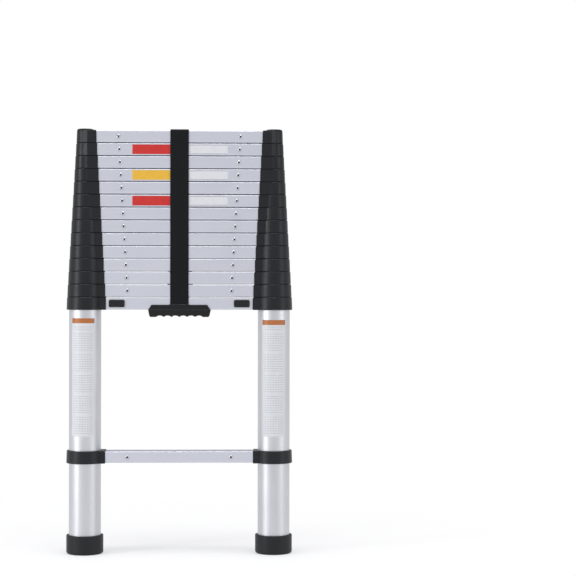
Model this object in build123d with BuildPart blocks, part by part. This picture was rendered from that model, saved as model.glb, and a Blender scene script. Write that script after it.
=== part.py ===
import os
from math import radians, tan

from build123d import *

# Telescoping ladder, pushed together. The floor is z = 0, the climbing face looks
# toward -Y, and x = 0 is halfway between the two stiles.

# Overall layout
stile_spacing = 370.0
half_spacing = stile_spacing / 2
base_rung_height = 190.0
stack_rung_height = 490.0
rung_pitch_open = 300.0
rung_pitch_closed = 25.1
first_stack_rung = 2
top_rung = 15

# Stile tubes: each tube slides inside the one below it
base_tube_radius = 31.35
tube_radius_step = 1.4
tube_wall = 1.1
slide_gap = tube_radius_step - tube_wall
tube_length_below_collar = 350.0
base_tube_bottom = 6.0

# Lock collars round the tube tops
collar_height = 25.0
collar_radius_first = 36.3
collar_radius_step = 1.45
collar_reach_first = 42.0
collar_reach_step = 1.46
collar_lip = 3.0
collar_half_depth = 22.0
collar_edge = 1.0
collar_taper = 2.0
bracket_start = 5.0
plug_root = 3.0

# Rungs: hollow extrusions with a grooved tread
rung_depth = 40.0
rung_height = 24.0
base_rung_face = 22.4
rung_wall = 1.6
rung_corner = 2.2
tread_groove_pitch = 4.6
tread_groove_width = 1.8
tread_groove_depth = 0.6
tread_groove_count = 7
plug_length = 52.0
short_plug_length = 6.0
plug_gap = 0.1

# Lock pins
pin_radius = 3.0
pin_length = 24.0
pin_gap = 0.1
pin_stand_off = 0.5
pin_hole_radius = 3.4

# Tube end plugs
end_plug_height = 14.0
end_plug_bore = 5.0

# Top caps
cap_rise = 3.0
cap_inset = 1.2

# Feet
foot_radius = 36.2
foot_height = 37.0
foot_floor = 6.0
foot_edge = 5.0
sole_groove_width = 3.0
sole_groove_depth = 2.0
sole_groove_places = (-22.0, -13.0, 13.0, 22.0)

# Release slides on the second rung
button_width = 31.0
button_face_height = 14.5
button_thickness = 3.2
button_distance = 122.0
button_gap = 0.3
button_stem_width = 8.0
button_stem_height = 6.0
button_travel = 10.0
release_pin_radius = 3.5
slot_clearance = 0.4

# Carry grip round the underside of the second rung
grip_half_width = 61.0
grip_top_half_width = 54.5
grip_low_half_width = 57.8
grip_top = 487.4
grip_widest = 477.0
grip_bottom = 463.6
grip_half_depth = 25.5
grip_hump_half_width = 19.0
grip_hump_rise = 0.9
finger_pitch = 15.3
finger_radius = 9.0
finger_bite = 4.2
finger_count = 6

# Closing strap and its buckle
strap_width = 36.0
strap_thickness = 1.8
strap_gap = 0.7
buckle_width = 50.0
buckle_depth = 10.0
buckle_bottom = 512.0
buckle_mouth = 552.0
buckle_wall = 2.0
tongue_top = 575.0
tongue_gap = 0.4


def tube_radius(rung):
    return base_tube_radius - tube_radius_step * (rung - first_stack_rung)


def collar_radius(rung):
    return collar_radius_first - collar_radius_step * (rung - first_stack_rung)


def collar_reach(rung):
    return collar_reach_first - collar_reach_step * (rung - first_stack_rung)


def rung_centre(rung):
    return stack_rung_height + rung_pitch_closed * (rung - first_stack_rung)


def tube_top(rung):
    return rung_centre(rung) + collar_height / 2 - collar_lip


def tube_bottom(rung):
    return rung_centre(rung) - collar_height / 2 - tube_length_below_collar


def finish(builder, name):
    """Name the part and write its STEP file."""
    builder.part.label = name
    export_step(builder.part, f"parts/{name}.step")


def stile_pair(rung, bottom, lock_heights):
    """Two open tubes with lock holes facing the rungs."""
    radius = tube_radius(rung)
    with BuildPart() as pair:
        with BuildSketch(Plane.XY.offset(bottom)):
            with GridLocations(stile_spacing, 0, 2, 1):
                Circle(radius)
                Circle(radius - tube_wall, mode=Mode.SUBTRACT)
        extrude(amount=tube_top(rung) - bottom)
        for height in lock_heights:
            with BuildSketch(Plane.YZ.offset(-half_spacing)):
                with Locations((0, height)):
                    Circle(pin_hole_radius if rung > first_stack_rung else release_pin_radius + slot_clearance)
            extrude(amount=stile_spacing, mode=Mode.SUBTRACT)
    return pair


def bracket_outline(radius, reach, inset=0.0):
    """Plan of the left collar's flat-sided bracket, which runs from the ring to the rung."""
    start = -0.35 * radius
    start_depth = min(0.9 * radius, collar_half_depth) - inset
    side_depth = collar_half_depth - inset
    with BuildSketch() as outline:
        with Locations((-half_spacing, 0)):
            Polygon(
                (start, -start_depth),
                (bracket_start, -side_depth),
                (reach - inset, -side_depth),
                (reach - inset, side_depth),
                (bracket_start, side_depth),
                (start, start_depth),
                align=None,
            )
    return outline.sketch


def plug_section(face_height):
    """Solid section that fills a rung, seen along X."""
    with BuildSketch() as section:
        RectangleRounded(
            rung_depth - 2 * rung_wall - 2 * plug_gap,
            face_height - 2 * rung_wall - 2 * plug_gap - tread_groove_depth * 2,
            rung_corner - rung_wall,
        )
    return section.sketch


def collar_pair(centre, radius, reach, tube, bore_top, top_bore, plug, pin_hole, face_height):
    """Left collar with its plug, then the right one as its mirror image."""
    bottom = centre - collar_height / 2
    with BuildPart() as pair:
        straight = collar_height - 2 * collar_edge
        inset = straight * tan(radians(collar_taper))
        with BuildSketch(Plane(origin=(-half_spacing, 0, bottom), x_dir=(1, 0, 0), z_dir=(0, -1, 0))):
            with BuildLine():
                Polyline(
                    (0, 0),
                    (radius - collar_edge, 0),
                    (radius, collar_edge),
                    (radius - inset, collar_height - collar_edge),
                    (radius - inset - collar_edge, collar_height),
                    (0, collar_height),
                    close=True,
                )
            make_face()
        revolve(axis=Axis((-half_spacing, 0, 0), (0, 0, 1)))
        with BuildSketch(Plane.XY.offset(bottom + collar_edge)):
            add(bracket_outline(radius, reach))
        extrude(amount=straight, taper=collar_taper)
        with BuildSketch(Plane.XY.offset(bottom + collar_edge)):
            add(bracket_outline(radius, reach))
        extrude(amount=-collar_edge, taper=45)
        with BuildSketch(Plane.XY.offset(bottom + collar_height - collar_edge)):
            add(bracket_outline(radius, reach, inset))
        extrude(amount=collar_edge, taper=45)
        with BuildSketch(Plane.YZ.offset(-half_spacing + reach - plug_root)):
            with Locations((0, centre)):
                add(plug_section(face_height))
        extrude(amount=plug_root + plug)
        with BuildSketch(Plane.XY.offset(bottom)):
            with Locations((-half_spacing, 0)):
                Circle(tube)
        extrude(amount=bore_top - bottom, mode=Mode.SUBTRACT)
        if top_bore > 0:
            with BuildSketch(Plane.XY.offset(bottom)):
                with Locations((-half_spacing, 0)):
                    Circle(top_bore)
            extrude(amount=collar_height, mode=Mode.SUBTRACT)
        if pin_hole > 0:
            with BuildSketch(Plane.YZ.offset(-half_spacing)):
                with Locations((0, centre)):
                    Circle(pin_hole)
            extrude(amount=reach + plug + 1, mode=Mode.SUBTRACT)
        mirror(about=Plane.YZ)
    return pair


def rung_bar(centre, reach, face_height):
    """Hollow rung between two collars, its tread grooved lengthwise."""
    length = stile_spacing - 2 * reach
    with BuildPart() as bar:
        with BuildSketch(Plane.YZ.offset(-length / 2)):
            with Locations((0, centre)):
                RectangleRounded(rung_depth, face_height, rung_corner)
                RectangleRounded(
                    rung_depth - 2 * rung_wall,
                    face_height - 2 * rung_wall - tread_groove_depth * 2,
                    rung_corner - rung_wall,
                    mode=Mode.SUBTRACT,
                )
            with Locations((0, centre + face_height / 2)):
                with GridLocations(tread_groove_pitch, 0, tread_groove_count, 1):
                    Rectangle(tread_groove_width, tread_groove_depth * 2, mode=Mode.SUBTRACT)
        extrude(amount=length)
    return bar


os.makedirs("parts", exist_ok=True)

# Lowest section: its tubes reach from the feet to the first stacked rung
base_stiles = stile_pair(first_stack_rung, base_tube_bottom, [rung_centre(first_stack_rung)])
finish(base_stiles, "base_stiles")

with BuildPart() as feet:
    with BuildSketch():
        with GridLocations(stile_spacing, 0, 2, 1):
            Circle(foot_radius)
    extrude(amount=foot_height)
    fillet(faces().filter_by(Plane.XY).group_by(Axis.Z)[0].edges(), foot_edge)
    fillet(faces().filter_by(Plane.XY).group_by(Axis.Z)[-1].edges(), 1.2)
    with BuildSketch(Plane.XY.offset(foot_floor)):
        with GridLocations(stile_spacing, 0, 2, 1):
            Circle(base_tube_radius)
    extrude(amount=foot_height, mode=Mode.SUBTRACT)
    for place in sole_groove_places:
        with BuildSketch():
            with Locations((0, place)):
                Rectangle(2 * stile_spacing, sole_groove_width)
        extrude(amount=sole_groove_depth, mode=Mode.SUBTRACT)
finish(feet, "feet")

lower_brackets = collar_pair(
    base_rung_height, collar_radius_first + 0.2, collar_reach_first - 1.0, base_tube_radius,
    base_rung_height + collar_height, 0, plug_length, 0, base_rung_face,
)
finish(lower_brackets, "lower_brackets")

rung_01 = rung_bar(base_rung_height, collar_reach_first - 1.0, base_rung_face)
finish(rung_01, "rung_01")

with BuildPart() as base_rung_rivets:
    rivet_x = half_spacing - collar_reach_first + 1.0 - 43.0
    for side in (-1, 1):
        with BuildSketch(Plane.XZ.offset(rung_depth / 2)):
            with Locations((side * rivet_x, base_rung_height)):
                Circle(3.2)
        extrude(amount=1.6, taper=25)
        with BuildSketch(Plane.XZ.offset(-rung_depth / 2)):
            with Locations((side * rivet_x, base_rung_height)):
                Circle(3.2)
        extrude(amount=-1.6, taper=25)
finish(base_rung_rivets, "base_rung_rivets")

# Second rung: its collars, bar, release slides and carry grip
reach_two = collar_reach(first_stack_rung)
collars_02 = collar_pair(
    rung_centre(2), collar_radius(2), reach_two, tube_radius(2), tube_top(2),
    tube_radius(3) + slide_gap, short_plug_length, release_pin_radius + slot_clearance, rung_height,
)
finish(collars_02, "collars_02")

slot_low = button_distance - button_stem_width / 2 - button_travel - slot_clearance
slot_high = button_distance + button_stem_width / 2 + slot_clearance
with BuildPart() as rung_02:
    add(rung_bar(rung_centre(2), reach_two, rung_height).part)
    for side in (-1, 1):
        with BuildSketch(Plane.XZ.offset(rung_depth / 2 + 1)):
            with Locations((side * (slot_low + slot_high) / 2, rung_centre(2))):
                Rectangle(slot_high - slot_low, button_stem_height + 2 * slot_clearance)
        extrude(amount=-rung_wall - 2, mode=Mode.SUBTRACT)
finish(rung_02, "rung_02")


def release_button(side):
    """Thumb slide on the front of the rung, its stem passing through the slot."""
    with BuildPart() as button:
        with BuildSketch(Plane.XZ.offset(rung_depth / 2 + button_gap)):
            with Locations((side * button_distance, rung_centre(2))):
                RectangleRounded(button_width, button_face_height, 3.0)
        extrude(amount=button_thickness)
        fillet(faces().sort_by(Axis.Y)[0].edges(), 1.0)
        with BuildSketch(Plane.XZ.offset(rung_depth / 2 + button_gap + button_thickness)):
            with Locations((side * button_distance, rung_centre(2))):
                RectangleRounded(button_width - 8.0, button_face_height - 5.0, 2.0)
        extrude(amount=-1.0, mode=Mode.SUBTRACT)
        with BuildSketch(Plane.XZ.offset(release_pin_radius)):
            with Locations((side * button_distance, rung_centre(2))):
                Rectangle(button_stem_width, button_stem_height)
        extrude(amount=rung_depth / 2 + button_gap - release_pin_radius)
    return button


def release_pin(side):
    """Pin from just outside the inner tube to the stem of the thumb slide."""
    tip = half_spacing - tube_radius(3) - pin_stand_off
    tail = button_distance - button_stem_width / 2
    with BuildPart() as pin:
        with BuildSketch(Plane.YZ.offset(side * tail)):
            with Locations((0, rung_centre(2))):
                Circle(release_pin_radius)
        extrude(amount=side * (tip - tail))
        with BuildSketch(Plane.YZ.offset(side * tail)):
            with Locations((0, rung_centre(2))):
                Rectangle(2 * release_pin_radius, button_stem_height)
        extrude(amount=side * button_stem_width)
    return pin


for side, word in ((-1, "left"), (1, "right")):
    finish(release_button(side), f"release_button_{word}")
    finish(release_pin(side), f"lock_pin_{word}")

with BuildPart() as pin_springs:
    spring_radius = release_pin_radius + 1.6
    spring_start = half_spacing - reach_two - short_plug_length - 0.2
    spring_length = spring_start - button_distance - button_stem_width / 2 - 0.4
    for side in (-1, 1):
        with BuildLine():
            coil = Helix(
                pitch=spring_length / 4,
                height=spring_length - 1.4,
                radius=spring_radius,
                center=(side * (spring_start - 0.6), 0, rung_centre(2)),
                direction=(-side, 0, 0),
            )
        with BuildSketch(Plane(origin=coil @ 0, z_dir=coil % 0)):
            Circle(0.5)
        sweep(path=coil)
finish(pin_springs, "pin_springs")

with BuildPart() as carry_grip:
    with BuildSketch(Plane.XZ.offset(grip_half_depth)) as grip_face:
        with BuildLine():
            Polyline(
                (-grip_top_half_width, grip_top),
                (-grip_half_width, grip_widest),
                (-grip_low_half_width, grip_bottom),
                (grip_low_half_width, grip_bottom),
                (grip_half_width, grip_widest),
                (grip_top_half_width, grip_top),
                close=True,
            )
        make_face()
        with Locations((0, grip_top)):
            Rectangle(2 * grip_hump_half_width, 2 * grip_hump_rise)
        with Locations((0, grip_bottom - finger_radius + finger_bite)):
            with GridLocations(finger_pitch, 0, finger_count, 1):
                Circle(finger_radius, mode=Mode.SUBTRACT)
    extrude(amount=-2 * grip_half_depth)
    with BuildSketch(Plane.YZ.offset(-grip_half_width - 1)):
        with Locations((0, rung_centre(2))):
            RectangleRounded(rung_depth, rung_height, rung_corner)
        with Locations((0, rung_centre(2) + 10)):
            Rectangle(rung_depth, rung_height)
    extrude(amount=2 * grip_half_width + 2, mode=Mode.SUBTRACT)
finish(carry_grip, "carry_grip")

with BuildPart() as grip_screws:
    for side in (-1, 1):
        with BuildSketch(Plane.XZ.offset(-grip_half_depth)):
            with Locations((side * 38.0, 482.5)):
                Circle(3.0)
                RegularPolygon(1.5, 6, mode=Mode.SUBTRACT)
        extrude(amount=-1.6)
finish(grip_screws, "grip_screws")

# Telescoping sections, each carrying one rung
for rung in range(first_stack_rung + 1, top_rung + 1):
    centre = rung_centre(rung)
    reach = collar_reach(rung)
    foot_of_tube = tube_bottom(rung)
    hold_height = rung_centre(rung - 1) - (rung_pitch_open - rung_pitch_closed)
    is_top = rung == top_rung
    holes = [hold_height] if is_top else [hold_height, centre]
    finish(stile_pair(rung, foot_of_tube, holes), f"stiles_{rung:02d}")

    inner_bore = tube_radius(rung) - tube_wall
    rings = collar_pair(
        centre, collar_radius(rung), reach, tube_radius(rung), tube_top(rung),
        inner_bore, plug_length, 0 if is_top else pin_radius + pin_gap, rung_height,
    )
    with BuildPart() as collars:
        add(rings.part)
        with BuildSketch(Plane.XY.offset(foot_of_tube)):
            with GridLocations(stile_spacing, 0, 2, 1):
                Circle(inner_bore)
                Circle(end_plug_bore, mode=Mode.SUBTRACT)
        extrude(amount=end_plug_height)
        if not is_top:
            pin_tip = half_spacing - inner_bore
            for side in (-1, 1):
                with BuildSketch(Plane.YZ.offset(side * pin_tip)):
                    with Locations((0, centre)):
                        Circle(pin_radius)
                extrude(amount=-side * pin_length)
    finish(collars, f"lock_collars_{rung:02d}")

    finish(rung_bar(centre, reach, rung_height), f"rung_{rung:02d}")

# Caps over the open tops of the uppermost tubes
with BuildPart() as top_caps:
    cap_base = rung_centre(top_rung) + collar_height / 2
    with BuildSketch(Plane.XY.offset(cap_base)):
        with GridLocations(stile_spacing, 0, 2, 1):
            Circle(collar_radius(top_rung) - cap_inset)
    extrude(amount=cap_rise)
    fillet(faces().filter_by(Plane.XY).group_by(Axis.Z)[-1].edges(), cap_rise - 0.2)
    with BuildSketch(Plane.XY.offset(cap_base)):
        with GridLocations(stile_spacing, 0, 2, 1):
            Circle(tube_radius(top_rung) - tube_wall - plug_gap)
    extrude(amount=-12.0)
finish(top_caps, "top_caps")

# Closing strap round the stack, with its buckle behind
strap_inner = rung_depth / 2 + strap_gap
strap_outer = strap_inner + strap_thickness
strap_crown = rung_centre(top_rung) + rung_height / 2 + strap_gap
strap_low = grip_top + grip_hump_rise + 0.4
with BuildPart() as strap:
    with BuildSketch(Plane.YZ.offset(-strap_width / 2)):
        with Locations((0, strap_crown + strap_thickness - 250)):
            RectangleRounded(2 * strap_outer, 500, 5.0)
        with Locations((0, strap_crown - 250)):
            RectangleRounded(2 * strap_inner, 500, 5.0 - strap_thickness, mode=Mode.SUBTRACT)
        with Locations((-strap_outer, strap_low - 200)):
            Rectangle(2 * strap_outer, 400, mode=Mode.SUBTRACT)
        with Locations((strap_outer, tongue_top - 200)):
            Rectangle(2 * strap_outer, 400, mode=Mode.SUBTRACT)
    extrude(amount=strap_width)
finish(strap, "strap")

buckle_front = strap_inner
buckle_middle = buckle_front + buckle_depth / 2
with BuildPart() as buckle_socket:
    with BuildSketch(Plane.XY.offset(buckle_bottom)):
        with Locations((0, buckle_middle)):
            RectangleRounded(buckle_width, buckle_depth, 3.0)
    extrude(amount=buckle_mouth - buckle_bottom)
    with BuildSketch(Plane.XY.offset(buckle_bottom + 6)):
        with Locations((0, buckle_middle)):
            RectangleRounded(buckle_width - 2 * buckle_wall, buckle_depth - 2 * buckle_wall, 1.5)
    extrude(amount=buckle_mouth - buckle_bottom, mode=Mode.SUBTRACT)
finish(buckle_socket, "buckle_socket")

with BuildPart() as buckle_tongue:
    with BuildSketch(Plane.XY.offset(buckle_mouth + tongue_gap)):
        with Locations((0, buckle_middle)):
            RectangleRounded(buckle_width - 2.0, buckle_depth, 3.0)
    extrude(amount=tongue_top - buckle_mouth - tongue_gap)
    prong_depth = buckle_depth - 2 * buckle_wall - 2 * tongue_gap
    prong_reach = buckle_width / 2 - buckle_wall - 1.2
    for side in (-1, 1):
        with BuildSketch(Plane.XY.offset(buckle_mouth - 28)):
            with Locations((side * (prong_reach - 4.0), buckle_middle)):
                Rectangle(8.0, prong_depth)
        extrude(amount=28 + tongue_gap)
    with BuildSketch(Plane.XY.offset(buckle_mouth - 24)):
        with Locations((0, buckle_middle)):
            Rectangle(8.0, prong_depth)
    extrude(amount=24 + tongue_gap)
finish(buckle_tongue, "buckle_tongue")

with BuildPart() as strap_tail:
    with BuildSketch(Plane.XY.offset(grip_top + grip_hump_rise)):
        with Locations((0, buckle_front + strap_thickness / 2 + 0.4)):
            Rectangle(strap_width, strap_thickness)
    extrude(amount=buckle_bottom - grip_top - grip_hump_rise)
finish(strap_tail, "strap_tail")
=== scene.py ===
from math import cos, pi, radians, sin

import bmesh
import bpy
from mathutils import Euler, Matrix, Vector


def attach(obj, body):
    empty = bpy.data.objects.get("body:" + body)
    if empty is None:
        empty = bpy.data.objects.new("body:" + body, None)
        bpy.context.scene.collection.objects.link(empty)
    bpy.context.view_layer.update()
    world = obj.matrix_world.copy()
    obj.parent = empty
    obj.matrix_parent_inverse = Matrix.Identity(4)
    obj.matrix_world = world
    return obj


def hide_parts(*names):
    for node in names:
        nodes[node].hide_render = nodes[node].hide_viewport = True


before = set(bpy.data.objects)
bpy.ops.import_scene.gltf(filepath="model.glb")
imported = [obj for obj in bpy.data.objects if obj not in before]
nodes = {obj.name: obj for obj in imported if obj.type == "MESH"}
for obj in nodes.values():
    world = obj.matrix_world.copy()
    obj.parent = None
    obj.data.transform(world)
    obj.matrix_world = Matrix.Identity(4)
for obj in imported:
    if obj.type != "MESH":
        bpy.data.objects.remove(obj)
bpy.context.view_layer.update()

mm = 0.001
sectionRungs = range(3, 16)

# places shared with the CAD frame, in metres
stileX = 0.185
rungFront = -0.020
rungHalfHeight = 0.012
rungPitch = 0.0251
secondRungZ = 0.490
baseRungZ = 0.190


def rungZ(rung):
    return secondRungZ + rungPitch * (rung - 2)


def linear(hexColour):  # sRGB hex text to linear RGBA
    values = []
    for start in (0, 2, 4):
        c = int(hexColour[start:start + 2], 16) / 255
        values.append(c / 12.92 if c <= 0.04045 else ((c + 0.055) / 1.055) ** 2.4)
    return (*values, 1.0)


# settings are sockets or properties, links are sockets fed by other nodes, stops are a ramp's colours
def addNode(tree, kind, settings=None, links=None, stops=()):
    made = tree.nodes.new(kind)
    for key, value in (settings or {}).items():
        if isinstance(key, int) or key in made.inputs:
            made.inputs[key].default_value = value
        else:
            setattr(made, key, value)
    for key, socket in (links or {}).items():
        tree.links.new(socket, made.inputs[key])
    for spare in range(len(stops) - 2):  # a new ramp already has two stops
        made.color_ramp.elements.new(0.5)
    for i, (place, colour) in enumerate(stops):
        made.color_ramp.elements[i].position = place
        made.color_ramp.elements[i].color = colour
    return made


def newMaterial(name, settings):
    material = bpy.data.materials.new(name)
    material.use_nodes = True
    tree = material.node_tree
    shader = tree.nodes["Principled BSDF"]
    for key, value in settings.items():
        shader.inputs[key].default_value = value
    return material, tree, shader


# satin metal; grain is the Object scale, small along the direction the metal was drawn in
def metalMaterial(name, low, high, roughLow, roughHigh, grain):
    material, tree, shader = newMaterial(name, {"Metallic": 1.0})
    where = addNode(tree, "ShaderNodeTexCoord").outputs["Object"]
    drawn = addNode(tree, "ShaderNodeMapping", {"Scale": grain}, {"Vector": where})
    rubbed = addNode(tree, "ShaderNodeMapping", {"Scale": (60, 60, 60)}, {"Vector": where})
    lines = addNode(tree, "ShaderNodeTexNoise", {"Scale": 1.0, "Detail": 3.0, "Roughness": 0.6},
                    {"Vector": drawn.outputs[0]}).outputs["Fac"]
    cloud = addNode(tree, "ShaderNodeTexNoise", {"Scale": 14.0, "Detail": 3.0, "Roughness": 0.5},
                    {"Vector": where}).outputs["Fac"]
    scuff = addNode(tree, "ShaderNodeTexNoise", {"Scale": 1.0, "Detail": 5.0, "Roughness": 0.7},
                    {"Vector": rubbed.outputs[0]}).outputs["Fac"]
    lineTone = addNode(tree, "ShaderNodeMapRange", {"To Min": 0.2, "To Max": 0.6}, {"Value": lines})
    cloudTone = addNode(tree, "ShaderNodeMapRange", {"To Min": 0.0, "To Max": 0.35}, {"Value": cloud})
    tone = addNode(tree, "ShaderNodeMath", {"operation": "ADD"},
                   {0: lineTone.outputs[0], 1: cloudTone.outputs[0]})
    colour = addNode(tree, "ShaderNodeValToRGB", links={"Fac": tone.outputs[0]},
                     stops=[(0.0, linear(low)), (1.0, linear(high))])
    lineRough = addNode(tree, "ShaderNodeMapRange", {"To Min": roughLow, "To Max": roughHigh},
                        {"Value": lines})
    scuffRough = addNode(tree, "ShaderNodeMapRange", {"To Min": -0.03, "To Max": 0.06}, {"Value": scuff})
    rough = addNode(tree, "ShaderNodeMath", {"operation": "ADD"},
                    {0: lineRough.outputs[0], 1: scuffRough.outputs[0]})
    relief = addNode(tree, "ShaderNodeBump", {"Distance": 0.01 * mm, "Strength": 1.0}, {"Height": lines})
    tree.links.new(colour.outputs["Color"], shader.inputs["Base Color"])
    tree.links.new(rough.outputs[0], shader.inputs["Roughness"])
    tree.links.new(relief.outputs["Normal"], shader.inputs["Normal"])
    return material


# moulded plastic or rubber: a fine spark-eroded texture and rubbed patches
def plasticMaterial(name, low, high, roughLow, roughHigh, grainPerMetre, depth, shine=0.3):
    material, tree, shader = newMaterial(name, {"Metallic": 0.0, "Specular IOR Level": shine})
    where = addNode(tree, "ShaderNodeTexCoord").outputs["Object"]
    fine = addNode(tree, "ShaderNodeTexNoise", {"Scale": grainPerMetre, "Detail": 2.0, "Roughness": 0.6},
                   {"Vector": where}).outputs["Fac"]
    cloud = addNode(tree, "ShaderNodeTexNoise", {"Scale": 22.0, "Detail": 4.0, "Roughness": 0.6},
                    {"Vector": where}).outputs["Fac"]
    colour = addNode(tree, "ShaderNodeValToRGB", links={"Fac": cloud},
                     stops=[(0.0, linear(low)), (1.0, linear(high))])
    cloudRough = addNode(tree, "ShaderNodeMapRange", {"To Min": roughLow, "To Max": roughHigh},
                         {"Value": cloud})
    fineRough = addNode(tree, "ShaderNodeMapRange", {"To Min": -0.04, "To Max": 0.04}, {"Value": fine})
    rough = addNode(tree, "ShaderNodeMath", {"operation": "ADD"},
                    {0: cloudRough.outputs[0], 1: fineRough.outputs[0]})
    relief = addNode(tree, "ShaderNodeBump", {"Distance": depth * mm, "Strength": 1.0}, {"Height": fine})
    tree.links.new(colour.outputs["Color"], shader.inputs["Base Color"])
    tree.links.new(rough.outputs[0], shader.inputs["Roughness"])
    tree.links.new(relief.outputs["Normal"], shader.inputs["Normal"])
    return material


def filmMaterial(name, low, high):  # vinyl film, slightly faded and scuffed
    material, tree, shader = newMaterial(name, {"Metallic": 0.0})
    where = addNode(tree, "ShaderNodeTexCoord").outputs["Object"]
    cloud = addNode(tree, "ShaderNodeTexNoise", {"Scale": 60.0, "Detail": 4.0, "Roughness": 0.6},
                    {"Vector": where}).outputs["Fac"]
    fine = addNode(tree, "ShaderNodeTexNoise", {"Scale": 500.0, "Detail": 2.0, "Roughness": 0.5},
                   {"Vector": where}).outputs["Fac"]
    colour = addNode(tree, "ShaderNodeValToRGB", links={"Fac": cloud},
                     stops=[(0.0, linear(low)), (1.0, linear(high))])
    rough = addNode(tree, "ShaderNodeMapRange", {"To Min": 0.3, "To Max": 0.5}, {"Value": cloud})
    relief = addNode(tree, "ShaderNodeBump", {"Distance": 0.01 * mm, "Strength": 1.0}, {"Height": fine})
    tree.links.new(colour.outputs["Color"], shader.inputs["Base Color"])
    tree.links.new(rough.outputs[0], shader.inputs["Roughness"])
    tree.links.new(relief.outputs["Normal"], shader.inputs["Normal"])
    return material


weave = {"fold": 4.5, "rib": 1.5, "warp": 0.9}  # millimetres; drawn coarser than real yarn so that it shows


# woven polyester: diagonal ribs from the strap's own UV map, in millimetres
def webbingMaterial(name, low, high):
    material, tree, shader = newMaterial(name, {"Metallic": 0.0, "Sheen Weight": 0.02, "Sheen Roughness": 0.5,
                                                "Specular IOR Level": 0.15})
    uv = addNode(tree, "ShaderNodeUVMap", {"uv_map": "webbing"}).outputs["UV"]
    parts = addNode(tree, "ShaderNodeSeparateXYZ", links={"Vector": uv})
    fold = addNode(tree, "ShaderNodeMath", {"operation": "PINGPONG", 1: weave["fold"]},
                   {0: parts.outputs["X"]})
    slope = addNode(tree, "ShaderNodeMath", {"operation": "ADD"}, {0: parts.outputs["Y"], 1: fold.outputs[0]})
    ribTurn = addNode(tree, "ShaderNodeMath", {"operation": "MULTIPLY", 1: 2 * pi / weave["rib"]},
                      {0: slope.outputs[0]})
    rib = addNode(tree, "ShaderNodeMath", {"operation": "SINE"}, {0: ribTurn.outputs[0]})
    warpTurn = addNode(tree, "ShaderNodeMath", {"operation": "MULTIPLY", 1: 2 * pi / weave["warp"]},
                       {0: parts.outputs["X"]})
    warp = addNode(tree, "ShaderNodeMath", {"operation": "SINE"}, {0: warpTurn.outputs[0]})
    cloth = addNode(tree, "ShaderNodeMath", {"operation": "MULTIPLY_ADD", 1: 0.4},
                    {0: warp.outputs[0], 2: rib.outputs[0]})
    level = addNode(tree, "ShaderNodeMapRange", {"From Min": -1.4, "From Max": 1.4},
                    {"Value": cloth.outputs[0]}).outputs["Result"]
    where = addNode(tree, "ShaderNodeTexCoord").outputs["Object"]
    fuzz = addNode(tree, "ShaderNodeTexNoise", {"Scale": 900.0, "Detail": 3.0, "Roughness": 0.5},
                   {"Vector": where}).outputs["Fac"]
    levelTone = addNode(tree, "ShaderNodeMapRange", {"To Min": 0.0, "To Max": 0.7}, {"Value": level})
    tone = addNode(tree, "ShaderNodeMath", {"operation": "MULTIPLY_ADD", 1: 0.3},
                   {0: fuzz, 2: levelTone.outputs[0]})
    colour = addNode(tree, "ShaderNodeValToRGB", links={"Fac": tone.outputs[0]},
                     stops=[(0.0, linear(low)), (1.0, linear(high))])
    rough = addNode(tree, "ShaderNodeMapRange", {"To Min": 0.85, "To Max": 0.7}, {"Value": level})
    relief = addNode(tree, "ShaderNodeBump", {"Distance": 0.25 * mm, "Strength": 0.8}, {"Height": level})
    tree.links.new(colour.outputs["Color"], shader.inputs["Base Color"])
    tree.links.new(rough.outputs[0], shader.inputs["Roughness"])
    tree.links.new(relief.outputs["Normal"], shader.inputs["Normal"])
    return material


# drawn and anodised: fine streaks along the tube, satin highlight
tubeAluminium = metalMaterial("anodised aluminium tube", "b8babf", "d8d9dd", 0.40, 0.48, (420, 420, 6))
# extruded and anodised: streaks along the rung, a little bluer and flatter
rungAluminium = metalMaterial("anodised aluminium extrusion", "c0c3ce", "d8dae2", 0.42, 0.52, (6, 900, 900))
# zinc plating: bright and even, no grain
rivetSteel = metalMaterial("zinc-plated steel", "a9abb0", "c9cbd0", 0.28, 0.4, (300, 300, 300))
# the moulded ones differ in how matt they are and in the size of their grain
collarNylon = plasticMaterial("glass-filled nylon", "0d0f13", "14161b", 0.36, 0.44, 1800.0, 0.02, 0.32)
footRubber = plasticMaterial("moulded rubber", "111216", "191a1e", 0.42, 0.54, 1200.0, 0.04)
gripPlastic = plasticMaterial("soft grip elastomer", "0e0f11", "151618", 0.45, 0.58, 1500.0, 0.03, 0.25)
buttonAcetal = plasticMaterial("acetal", "141517", "1e1f22", 0.3, 0.42, 2200.0, 0.02)
# painted shade: a dark colour down the hollow of a rivet, where shade falls
hollowPaintedShade = plasticMaterial("painted shade in rivet hollow", "1c1d1f", "2a2b2e", 0.5, 0.7, 900.0, 0.02)
strapWebbing = webbingMaterial("woven polyester webbing", "07080a", "17191d")  # nearly black, dull
redFilm = filmMaterial("red vinyl film", "b01a16", "c02620")
yellowFilm = filmMaterial("yellow vinyl film", "cfa02a", "daac36")
whiteFilm = filmMaterial("white vinyl film", "c3c5ca", "d0d2d6")
orangeFilm = filmMaterial("orange vinyl film", "a05d28", "ac6731")
greyInk = filmMaterial("grey printed line", "5d6067", "6d7076")

for name, item in nodes.items():
    item.data.materials.clear()
    if "stiles" in name:
        chosen = tubeAluminium
    elif name[:5] == "rung_":
        chosen = rungAluminium
    elif "collars" in name or name in ("lower_brackets", "top_caps"):
        chosen = collarNylon
    elif name == "feet":
        chosen = footRubber
    elif name in ("strap", "strap_tail"):
        chosen = strapWebbing
    elif name == "carry_grip":
        chosen = gripPlastic
    elif "button" in name or "buckle" in name:
        chosen = buttonAcetal
    else:
        chosen = rivetSteel
    item.data.materials.append(chosen)
print("materials set")


def sharpen(bm, degrees=35):
    for face in bm.faces:
        face.smooth = True
    for edge in bm.edges:
        edge.smooth = not (edge.is_manifold and edge.calc_face_angle(0) > radians(degrees))


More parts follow.
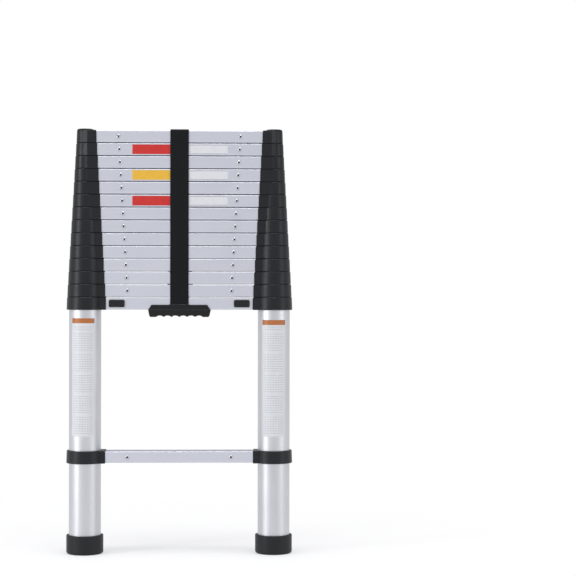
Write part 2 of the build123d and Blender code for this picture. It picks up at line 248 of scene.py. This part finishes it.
def makePiece(name, bm, materials, body, replaced=()):
    bmesh.ops.recalc_face_normals(bm, faces=bm.faces)
    sharpen(bm)
    mesh = bpy.data.meshes.new(name)
    bm.to_mesh(mesh)
    bm.free()
    item = bpy.data.objects.new(name, mesh)
    bpy.context.scene.collection.objects.link(item)
    for material in materials:
        mesh.materials.append(material)
    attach(item, body)
    if replaced:
        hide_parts(*replaced)


def addBlock(bm, low, high, edge=0.0, steps=2, materialIndex=0):  # box between two corners, rounded edges
    size = [h - l for l, h in zip(low, high)]
    middle = [(h + l) / 2 for l, h in zip(low, high)]
    before = set(bm.faces)
    place = Matrix.Translation(middle) @ Matrix.Diagonal((*size, 1.0))
    made = bmesh.ops.create_cube(bm, size=1.0, matrix=place)
    if edge:
        edges = {e for v in made["verts"] for e in v.link_edges}
        bmesh.ops.bevel(bm, geom=list(edges), offset=edge, offset_type="OFFSET", segments=steps, profile=0.5,
                        affect="EDGES", material=-1)
    for face in set(bm.faces) - before:
        face.material_index = materialIndex


# solid grown ring by ring: the end face is extruded and its corners go to the next ring's places
def growSolid(bm, rings):
    end = bm.faces.new([bm.verts.new(place) for place in rings[0]])
    rows = [list(end.verts)]
    for ring in rings[1:]:
        grown = bmesh.ops.extrude_face_region(bm, geom=[end, *end.edges, *end.verts])["geom"]
        end = next(item for item in grown if isinstance(item, bmesh.types.BMFace))
        for vert, place in zip(end.verts, ring):
            vert.co = place
        rows.append(list(end.verts))
    return rows


rivet = {"radius": 4.1 * mm, "height": 1.6 * mm, "hollow": 0.44, "fromCollar": 43 * mm, "baseX": 101 * mm,
         "collarReach": 42 * mm, "reachStep": 1.46 * mm}
# section of the head as parts of its radius and height: hollow, rim, crown and skirt
rivetProfile = [(0.0, 0.25), (0.42, 0.25), (0.46, 0.9), (0.62, 1.0), (0.85, 0.7), (1.0, 0.2), (1.0, 0.0),
                (0.0, 0.0)]


def addRivet(bm, centre, outward):
    before = set(bm.verts)
    verts = [bm.verts.new((rivet["radius"] * r, 0, rivet["height"] * h)) for r, h in rivetProfile]
    edges = [bm.edges.new((a, b)) for a, b in zip(verts, verts[1:])]
    bmesh.ops.spin(bm, geom=verts + edges, cent=(0, 0, 0), axis=(0, 0, 1), angle=2 * pi, steps=24,
                   use_merge=True)
    bmesh.ops.remove_doubles(bm, verts=[v for v in bm.verts if v not in before], dist=0.01 * mm)
    made = [v for v in bm.verts if v not in before]
    # painted shade: faces down the hollow take the dark second material
    for face in {f for v in made for f in v.link_faces}:
        middle = face.calc_center_median()
        if middle.xy.length < rivet["radius"] * rivet["hollow"] and middle.z > 0:
            face.material_index = 1
    turn = Vector((0, 0, 1)).rotation_difference(Vector(outward)).to_matrix().to_4x4()
    bmesh.ops.transform(bm, matrix=Matrix.Translation(centre) @ turn, verts=made)


def addRivets(bm, x, z):  # left and right, front and back
    for side in (-1, 1):
        addRivet(bm, (side * x, rungFront, z), (0, -1, 0))
        addRivet(bm, (side * x, -rungFront, z), (0, 1, 0))


for rung in sectionRungs:
    bm = bmesh.new()
    reach = rivet["collarReach"] - rivet["reachStep"] * (rung - 2)
    addRivets(bm, stileX - reach - rivet["fromCollar"], rungZ(rung))
    makePiece(f"rung_rivets_{rung:02d}", bm, [rivetSteel, hollowPaintedShade], f"section_{rung:02d}")
bm = bmesh.new()
addRivets(bm, rivet["baseX"], baseRungZ)
makePiece("rung_rivets_01", bm, [rivetSteel, hollowPaintedShade], "base_section", ("base_rung_rivets",))
print("rivets done")

film = {"thickness": 0.15 * mm, "height": 18.8 * mm, "left": -92 * mm, "middle": -1 * mm, "right": 94 * mm,
        "ink": 0.02 * mm, "lineLeft": 20 * mm, "lineRight": 93 * mm, "lineHeight": 0.6 * mm}
for rung, colour in ((14, redFilm), (12, yellowFilm), (10, redFilm)):
    bm = bmesh.new()
    front = rungFront - film["thickness"]
    low, high = rungZ(rung) - film["height"] / 2, rungZ(rung) + film["height"] / 2
    addBlock(bm, (film["left"], front, low), (film["middle"], rungFront, high))
    addBlock(bm, (film["middle"], front, low), (film["right"], rungFront, high), materialIndex=1)
    for lineLow in (low + 0.8 * mm, high - 1.4 * mm):
        addBlock(bm, (film["lineLeft"], front - film["ink"], lineLow),
                 (film["lineRight"], front, lineLow + film["lineHeight"]), materialIndex=2)
    makePiece(f"rung_film_{rung:02d}", bm, [colour, whiteFilm, greyInk], f"section_{rung:02d}")

tubeLabel = {"radius": 31.35 * mm, "thickness": 0.15 * mm, "ink": 0.02 * mm, "bottom": 0.2310, "top": 0.4515,
             "bandTop": 0.4612, "rows": 47, "group": 9, "firstRow": 6 * mm, "rowPitch": 4.5 * mm,
             "rowHeight": 0.8 * mm, "margin": 0.1}
# side, word, the angles where the film starts and ends from the front toward +X, and how much lower it sits
labelPlaces = ((-1, "left", -0.83, 0.69, 0.0), (1, "right", -0.80, 0.757, 3 * mm))


# film wrapped on a tube: its section is spun round the tube's own axis
def addCurvedFilm(bm, centreX, radius, thickness, low, high, start, end, materialIndex, steps=28):
    before = set(bm.faces)
    corners = ((radius, low), (radius + thickness, low), (radius + thickness, high), (radius, high))
    section = bm.faces.new([bm.verts.new((centreX + r * sin(start), -r * cos(start), z)) for r, z in corners])
    bmesh.ops.spin(bm, geom=[section, *section.edges, *section.verts], cent=(centreX, 0, 0), axis=(0, 0, 1),
                   angle=end - start, steps=steps)
    for face in set(bm.faces) - before:
        face.material_index = materialIndex


for side, word, start, end, drop in labelPlaces:
    bm = bmesh.new()
    radius, thickness = tubeLabel["radius"], tubeLabel["thickness"]
    top, bandTop = tubeLabel["top"] - drop, tubeLabel["bandTop"] - drop
    addCurvedFilm(bm, side * stileX, radius, thickness, tubeLabel["bottom"], top, start, end, 0)
    addCurvedFilm(bm, side * stileX, radius, thickness, top, bandTop, start, end, 1)
    inset = tubeLabel["margin"] * (end - start)
    for row in range(tubeLabel["rows"]):
        if row % tubeLabel["group"] == tubeLabel["group"] - 1:  # a blank row after each group
            continue
        low = tubeLabel["bottom"] + tubeLabel["firstRow"] + row * tubeLabel["rowPitch"]
        addCurvedFilm(bm, side * stileX, radius + thickness, tubeLabel["ink"], low,
                      low + tubeLabel["rowHeight"], start + inset, end - inset, 2, 12)
    makePiece(f"tube_label_{word}", bm, [whiteFilm, orangeFilm, greyInk], "base_section")
print("films done")

strapShape = {"width": 36 * mm, "thickness": 1.5 * mm, "bend": 4 * mm, "low": 0.4888, "rear": 0.5752,
              "y": 21.6 * mm, "aboveRung": 1.6 * mm, "thinEdge": 0.45, "tailY": 22 * mm, "tailLow": 0.4884,
              "tailHigh": 0.5118}


# flat band along a path in the YZ plane, thinner at its edges; its UV map is across and along in millimetres
def sweepBand(bm, path, columns=18):
    uvLayer = bm.loops.layers.uv.new("webbing")
    upper = []
    for k in range(columns + 1):
        across = -1 + 2 * k / columns
        halfThick = strapShape["thickness"] / 2 * (1 - strapShape["thinEdge"] * abs(across) ** 12)
        upper.append((across * strapShape["width"] / 2, halfThick))
    outline = upper + [(x, -h) for x, h in reversed(upper)]
    rings, lengths, travelled = [], [], 0.0
    for i, point in enumerate(path):
        travelled += (point - path[max(i - 1, 0)]).length
        lengths.append(travelled / mm)
        ahead = (path[min(i + 1, len(path) - 1)] - path[max(i - 1, 0)]).normalized()
        normal = Vector((0, -ahead.z, ahead.y))
        rings.append([Vector((x, 0, 0)) + point + normal * h for x, h in outline])
    rows = growSolid(bm, rings)
    along = {vert: length for row, length in zip(rows, lengths) for vert in row}
    for face in bm.faces:
        if len(face.verts) == 4:  # the two end faces keep no map
            for loop in face.loops:
                loop[uvLayer].uv = (loop.vert.co.x / mm, along[loop.vert])


def straight(start, end, steps):  # evenly spaced points that leave out the last one
    return [start.lerp(end, i / steps) for i in range(steps)]


def arc(centreY, centreZ, radius, start, end, steps=10):
    turns = [start + (end - start) * i / steps for i in range(steps + 1)]
    return [Vector((0, centreY + radius * cos(turn), centreZ + radius * sin(turn))) for turn in turns]


strapY, bend = strapShape["y"], strapShape["bend"]
strapTop = rungZ(15) + rungHalfHeight + strapShape["aboveRung"]
bendZ = strapTop - bend
strapPath = straight(Vector((0, -strapY, strapShape["low"])), Vector((0, -strapY, bendZ)), 90)
strapPath += arc(bend - strapY, bendZ, bend, pi, pi / 2)
strapPath += straight(Vector((0, bend - strapY, strapTop)), Vector((0, strapY - bend, strapTop)), 12)[1:]
strapPath += arc(strapY - bend, bendZ, bend, pi / 2, 0)
strapPath += straight(Vector((0, strapY, bendZ)), Vector((0, strapY, strapShape["rear"])), 70)[1:]
strapPath.append(Vector((0, strapY, strapShape["rear"])))
bm = bmesh.new()
sweepBand(bm, strapPath)
makePiece("strap_webbing", bm, [strapWebbing], "closing_strap", ("strap",))
print("strap done")

grip = {"half": 61 * mm, "halfTop": 54.5 * mm, "halfLow": 57.8 * mm, "top": 0.4874, "widest": 0.4770,
        "bottom": 0.4636, "halfDepth": 25.5 * mm, "inner": 20.0 * mm, "pitch": 15.3 * mm, "fingers": 6,
        "bite": 2.8 * mm, "ledge": 2.2 * mm, "corner": 5 * mm, "innerCorner": 3 * mm, "endRound": 1.6 * mm,
        "humpRise": 1.0 * mm, "humpHalf": 20.5 * mm, "humpSlope": 1.5 * mm, "stations": 160}


def gripHalfWidth(z):  # flared to the widest line, then drawn in above and below
    z = min(max(z, grip["bottom"]), grip["top"])
    if z > grip["widest"]:
        t = (z - grip["widest"]) / (grip["top"] - grip["widest"])
        return grip["half"] + (grip["halfTop"] - grip["half"]) * t
    t = (grip["widest"] - z) / (grip["widest"] - grip["bottom"])
    return grip["half"] + (grip["halfLow"] - grip["half"]) * t


def gripBottom(x):  # scalloped for the fingers
    reach = grip["pitch"] * grip["fingers"] / 2
    if abs(x) >= reach:
        return grip["bottom"]
    place = ((x + reach) % grip["pitch"]) / grip["pitch"]
    return grip["bottom"] + grip["bite"] * sin(pi * place) ** 0.8


def gripSection(s):  # U-shaped section round the rung; s runs from -1 to 1 along the grip
    low = gripBottom(s * 58 * mm)
    hump = min(1.0, (grip["humpHalf"] - abs(s) * grip["halfTop"]) / grip["humpSlope"])
    top = grip["top"] + grip["humpRise"] * max(0.0, hump)
    edge = grip["endRound"] * (1 - min(1.0, (1 - abs(s)) / 0.03)) ** 2
    front = edge - grip["halfDepth"]
    back = front + grip["ledge"]
    ledgeZ = grip["widest"] + 1.0 * mm
    corner, inner = grip["corner"], grip["inner"]
    outline = [(-inner - 0.1 * mm, top - 0.6 * mm), (-inner - 1.0 * mm, top), (back + 1.0 * mm, top),
               (back + 0.2 * mm, top - 0.3 * mm), (back, top - 1.0 * mm), (back, ledgeZ + 1.2 * mm),
               (back - 0.4 * mm, ledgeZ + 0.4 * mm), (front + 0.5 * mm, ledgeZ), (front, ledgeZ - 0.7 * mm),
               (front, low + corner + edge)]
    outline += [(front + corner * (1 - cos(a)), low + edge + corner * (1 - sin(a)))
                for a in (pi / 8, pi / 4, 3 * pi / 8, pi / 2)]
    outline += [(0.0, low + edge)]
    outline += [(-y, z) for y, z in reversed(outline[:-1])]
    wallY, floorZ = inner + 0.05 * mm, secondRungZ - rungHalfHeight - 0.05 * mm
    bendIn = grip["innerCorner"]
    inside = [(wallY - bendIn * (1 - cos(a)), floorZ + bendIn * (1 - sin(a)))
              for a in (0, pi / 6, pi / 3, pi / 2)]
    outline += inside + [(-y, z) for y, z in reversed(inside)]
    return [Vector((s * gripHalfWidth(z), y, z)) for y, z in outline]


bm = bmesh.new()
growSolid(bm, [gripSection(-1 + 2 * i / grip["stations"]) for i in range(grip["stations"] + 1)])
makePiece("carry_grip_moulding", bm, [gripPlastic], "base_section", ("carry_grip",))
print("grip done")

buckle = {"front": 20.7 * mm, "depth": 10.0 * mm, "half": 25.0 * mm, "bottom": 0.512, "mouth": 0.552,
          "top": 0.575, "wall": 2.0 * mm, "windowLow": 0.5235, "windowHigh": 0.5450, "prongLow": 0.5250,
          "tabLow": 0.5285, "barLow": 0.5655, "barHigh": 0.5685}
front, back = buckle["front"], buckle["front"] + buckle["depth"]
half, wall = buckle["half"], buckle["wall"]
bottom, mouth = buckle["bottom"], buckle["mouth"]


def addSided(bm, side, near, far, yLow, yHigh, zLow, zHigh, edge, steps=2):  # block on one side of the buckle
    a, b = sorted((side * near, side * far))
    addBlock(bm, (a, yLow, zLow), (b, yHigh, zHigh), edge, steps)


bm = bmesh.new()
addBlock(bm, (-half, front, bottom), (half, front + wall, mouth), 0.7 * mm)
addBlock(bm, (-half, back - wall, bottom), (half, back, mouth), 0.7 * mm)
addBlock(bm, (-half + 0.3 * mm, front + 0.5 * mm, bottom),
         (half - 0.3 * mm, back - 0.5 * mm, bottom + 6 * mm), 0.9 * mm, 3)
for side in (-1, 1):
    for low, high in ((bottom + 1 * mm, buckle["windowLow"]), (buckle["windowHigh"], mouth - 0.5 * mm)):
        addSided(bm, side, half - 0.2 * mm, half - wall, front + 0.5 * mm, back - 0.5 * mm, low, high,
                 0.6 * mm)
for row in range(3):  # raised ribs for the thumb
    low = bottom + (9 + row * 4) * mm
    addBlock(bm, (-9 * mm, back - 0.3 * mm, low), (9 * mm, back - 0.05 * mm, low + 1.2 * mm), 0.1 * mm)
makePiece("buckle_socket_shell", bm, [buttonAcetal], "base_section", ("buckle_socket",))

bm = bmesh.new()
tongueLow = mouth + 0.4 * mm
addBlock(bm, (-half + 1 * mm, front, tongueLow), (half - 1 * mm, back, tongueLow + 9 * mm), 1.8 * mm, 3)
addBlock(bm, (-half + 1 * mm, front + 0.2 * mm, buckle["top"] - 6 * mm),
         (half - 1 * mm, back - 1.5 * mm, buckle["top"]), 1.6 * mm, 3)
for side in (-1, 1):  # side posts, then the prongs that enter the socket
    addSided(bm, side, half - 1 * mm, half - 6 * mm, front + 0.2 * mm, back - 1 * mm, tongueLow + 5 * mm,
             buckle["top"] - 3 * mm, 1.2 * mm, 3)
    addSided(bm, side, 22.0 * mm, 15.5 * mm, front + 2.6 * mm, back - 2.6 * mm, buckle["prongLow"],
             tongueLow + 2 * mm, 1.2 * mm, 3)
addBlock(bm, (-4 * mm, front + 2.8 * mm, buckle["tabLow"]),
         (4 * mm, back - 2.8 * mm, tongueLow + 2 * mm), 0.8 * mm)
addBlock(bm, (-19 * mm, front + 3.4 * mm, buckle["barLow"]), (19 * mm, front + 6.4 * mm, buckle["barHigh"]),
         1.0 * mm, 3)
makePiece("buckle_tongue_frame", bm, [buttonAcetal], "closing_strap", ("buckle_tongue",))

tailLow = Vector((0, strapShape["tailY"], strapShape["tailLow"]))
tailHigh = Vector((0, strapShape["tailY"], strapShape["tailHigh"]))
bm = bmesh.new()
sweepBand(bm, straight(tailLow, tailHigh, 14) + [tailHigh])
makePiece("strap_tail_webbing", bm, [strapWebbing], "base_section", ("strap_tail",))
print("buckle done")

slide = {"x": 122 * mm, "face": -23.4 * mm, "recess": -22.5 * mm, "ribs": 5, "pitch": 3.6 * mm,
         "halfRib": 0.7 * mm, "halfHeight": 3.6 * mm}
for side, word in ((-1, "left"), (1, "right")):
    bm = bmesh.new()
    for k in range(slide["ribs"]):
        x = side * slide["x"] + (k - 2) * slide["pitch"]
        addBlock(bm, (x - slide["halfRib"], slide["face"], secondRungZ - slide["halfHeight"]),
                 (x + slide["halfRib"], slide["recess"], secondRungZ + slide["halfHeight"]), 0.3 * mm)
    makePiece(f"release_ribs_{word}", bm, [buttonAcetal], f"release_{word}")
print("thumb slides done")

scene = bpy.context.scene
scene.view_settings.view_transform = "Standard"

bm = bmesh.new()
bmesh.ops.create_grid(bm, x_segments=1, y_segments=1, size=30.0)
floorMesh = bpy.data.meshes.new("floor")
bm.to_mesh(floorMesh)
bm.free()
floor = bpy.data.objects.new("floor", floorMesh)
scene.collection.objects.link(floor)
floorPaint, floorTree, floorShader = newMaterial("white studio floor",
                                                 {"Base Color": (0.86, 0.86, 0.87, 1), "Roughness": 0.7})
floorWhere = addNode(floorTree, "ShaderNodeTexCoord").outputs["Object"]
floorAway = addNode(floorTree, "ShaderNodeVectorMath", {"operation": "LENGTH"}, {0: floorWhere})
floorFade = addNode(floorTree, "ShaderNodeMapRange",  # shadows near the feet, plain white further out
                    {"From Min": 0.1, "From Max": 0.95, "To Min": 0.4, "To Max": 1.0},
                    {"Value": floorAway.outputs["Value"]})
floorGlow = addNode(floorTree, "ShaderNodeEmission", {"Color": (1, 1, 1, 1), "Strength": 1.0})
floorMix = addNode(floorTree, "ShaderNodeMixShader",
                   links={0: floorFade.outputs["Result"], 1: floorShader.outputs[0], 2: floorGlow.outputs[0]})
floorTree.links.new(floorMix.outputs[0], floorTree.nodes["Material Output"].inputs["Surface"])
floorMesh.materials.append(floorPaint)

world = bpy.data.worlds.new("studio")
scene.world = world
world.use_nodes = True
tree = world.node_tree
tree.nodes.clear()
rayPath = addNode(tree, "ShaderNodeLightPath")
seen = addNode(tree, "ShaderNodeBackground", {"Color": (1, 1, 1, 1), "Strength": 1.0})
where = addNode(tree, "ShaderNodeTexCoord")
turn = addNode(tree, "ShaderNodeSeparateXYZ", links={"Vector": where.outputs["Generated"]})
sideways = addNode(tree, "ShaderNodeMapRange", {"From Min": -1.0}, {"Value": turn.outputs["X"]})
sideTone = addNode(tree, "ShaderNodeValToRGB", links={"Fac": sideways.outputs["Result"]},
                   stops=[(0.0, (0.95, 0.95, 0.97, 1)), (0.3, (0.9, 0.9, 0.92, 1)),
                          (0.5, (0.86, 0.87, 0.9, 1)), (1.0, (0.92, 0.92, 0.94, 1))])
lit = addNode(tree, "ShaderNodeBackground", {"Strength": 0.75}, {"Color": sideTone.outputs["Color"]})
mixed = addNode(tree, "ShaderNodeMixShader",
                links={0: rayPath.outputs["Is Camera Ray"], 1: lit.outputs[0], 2: seen.outputs[0]})
addNode(tree, "ShaderNodeOutputWorld", links={"Surface": mixed.outputs[0]})


def addSoftbox(name, place, target, width, height, power):
    light = bpy.data.lights.new(name, "AREA")
    light.shape = "RECTANGLE"
    light.size = width
    light.size_y = height
    light.energy = power
    item = bpy.data.objects.new(name, light)
    item.location = place
    item.rotation_euler = (Vector(target) - Vector(place)).to_track_quat("-Z", "Y").to_euler()
    scene.collection.objects.link(item)


addSoftbox("key strip", (-2.55, -1.6, 0.9), (0, 0, 0.45), 0.7, 2.2, 36)
addSoftbox("fill strip", (2.6, -1.5, 0.9), (0, 0, 0.45), 0.5, 2.0, 12)
addSoftbox("top softbox", (0.0, -1.16, 6.2), (0, 0, 0.4), 4.18, 3.25, 194)  # above the drawn-out ladder

view = {"lens": 107.31, "sensor": 36.0, "place": (0.1127, -3.3782, 0.5198), "tilt": 90.016, "turn": -1.698,
        "roll": 0.095}
cameraData = bpy.data.cameras.new("camera")
cameraData.lens = view["lens"]
cameraData.sensor_width = view["sensor"]
cameraData.clip_end = 60
camera = bpy.data.objects.new("camera", cameraData)
camera.location = view["place"]
aim = Euler((radians(view["tilt"]), 0, radians(view["turn"]))).to_matrix().to_4x4()
camera.rotation_euler = (aim @ Matrix.Rotation(radians(view["roll"]), 4, "Z")).to_euler()
scene.collection.objects.link(camera)
scene.camera = camera
print("studio done")
